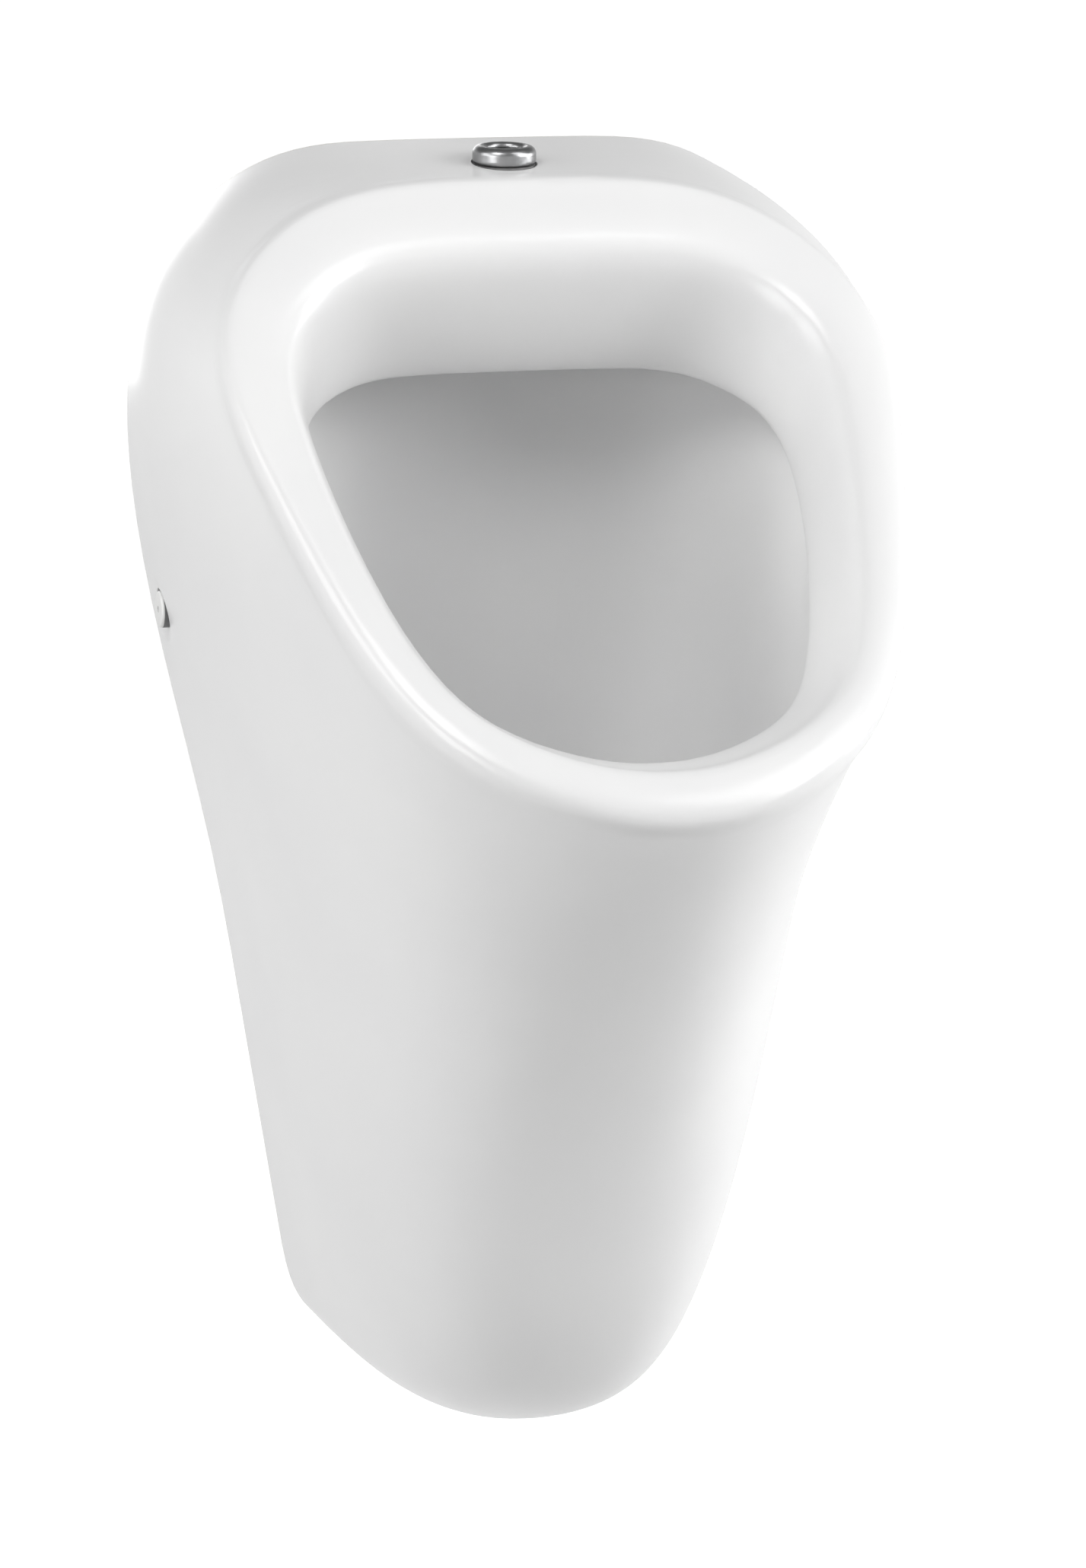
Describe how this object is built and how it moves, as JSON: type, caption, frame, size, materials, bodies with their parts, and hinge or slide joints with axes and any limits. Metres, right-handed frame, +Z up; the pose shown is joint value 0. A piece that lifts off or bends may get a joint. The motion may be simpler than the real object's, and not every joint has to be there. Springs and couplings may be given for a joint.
{
  "type": "urinal",
  "caption": "Wall-hung glazed ceramic urinal with a slanting rounded rim, deep bowl, top water inlet, side fixings and a concealed bottle trap behind the shroud.",
  "frame": {"origin": "on the wall plane, midway between the two wall fixing holes", "axes": "+Z up, +Y into the wall, so the bowl faces -Y, +X to the right of someone facing it"},
  "size_m": [0.3238, 0.3425, 0.5736],
  "materials": {
    "glaze": "gloss",
    "chrome": "polished",
    "brass": "turned",
    "zinc_steel": "zinc plated",
    "stainless_steel": "brushed",
    "rubber": "matt",
    "white_plastic": "moulded",
    "grey_plastic": "extruded"
  },
  "bodies": {
    "urinal": {"ceramic_body": "glaze", "inlet_spud": "chrome", "inlet_washer": "rubber", "inlet_lower_washer": "rubber", "water_spreader": "chrome", "side_bush_left": "white_plastic", "side_bush_right": "white_plastic", "bracket_nut_left": "zinc_steel", "bracket_nut_right": "zinc_steel", "wall_bracket_left": "zinc_steel", "wall_bracket_right": "zinc_steel", "waste_upper_seal": "rubber", "waste_lower_seal": "rubber", "waste_flange": "chrome", "union_seal": "rubber", "trap_dip_tube": "white_plastic", "trap_body": "white_plastic", "trap_cup_seal": "rubber", "outlet_cone_seal": "rubber", "outlet_pipe": "grey_plastic"},
    "strainer": {"drain_strainer": "stainless_steel"},
    "side_fixing_left": {"side_screw_left": "zinc_steel", "side_washer_left": "rubber", "side_cap_left": "white_plastic"},
    "side_fixing_right": {"side_screw_right": "zinc_steel", "side_washer_right": "rubber", "side_cap_right": "white_plastic"},
    "inlet_back_nut": {"inlet_nut": "brass"},
    "waste_back_nut": {"waste_nut": "brass"},
    "trap_union_nut": {"union_nut": "white_plastic"},
    "trap_lower_cup": {"trap_cup": "white_plastic"},
    "outlet_union_nut": {"outlet_nut": "white_plastic"}
  },
  "joints": [
    {"name": "strainer_lift", "type": "slide", "parent": "urinal", "child": "strainer", "axis": [0, 0, 1], "range_m": [0, 0.06]},
    {"name": "side_screw_left_turn", "type": "hinge", "parent": "urinal", "child": "side_fixing_left", "pos_m": [-0.14, -0.022, 0], "axis": [1, 0, 0], "continuous": true},
    {"name": "side_screw_right_turn", "type": "hinge", "parent": "urinal", "child": "side_fixing_right", "pos_m": [0.14, -0.022, 0], "axis": [1, 0, 0], "continuous": true},
    {"name": "inlet_nut_turn", "type": "hinge", "parent": "urinal", "child": "inlet_back_nut", "pos_m": [0, -0.045, 0.18], "axis": [0, 0, 1], "continuous": true},
    {"name": "waste_nut_turn", "type": "hinge", "parent": "urinal", "child": "waste_back_nut", "pos_m": [0, -0.102, -0.194], "axis": [0, 0, 1], "continuous": true},
    {"name": "union_nut_turn", "type": "hinge", "parent": "urinal", "child": "trap_union_nut", "pos_m": [0, -0.102, -0.224], "axis": [0, 0, 1], "continuous": true},
    {"name": "trap_cup_turn", "type": "hinge", "parent": "urinal", "child": "trap_lower_cup", "pos_m": [0, -0.102, -0.32], "axis": [0, 0, 1], "continuous": true},
    {"name": "outlet_nut_turn", "type": "hinge", "parent": "urinal", "child": "outlet_union_nut", "pos_m": [0, -0.05, -0.2735], "axis": [0, 1, 0], "continuous": true}
  ]
}
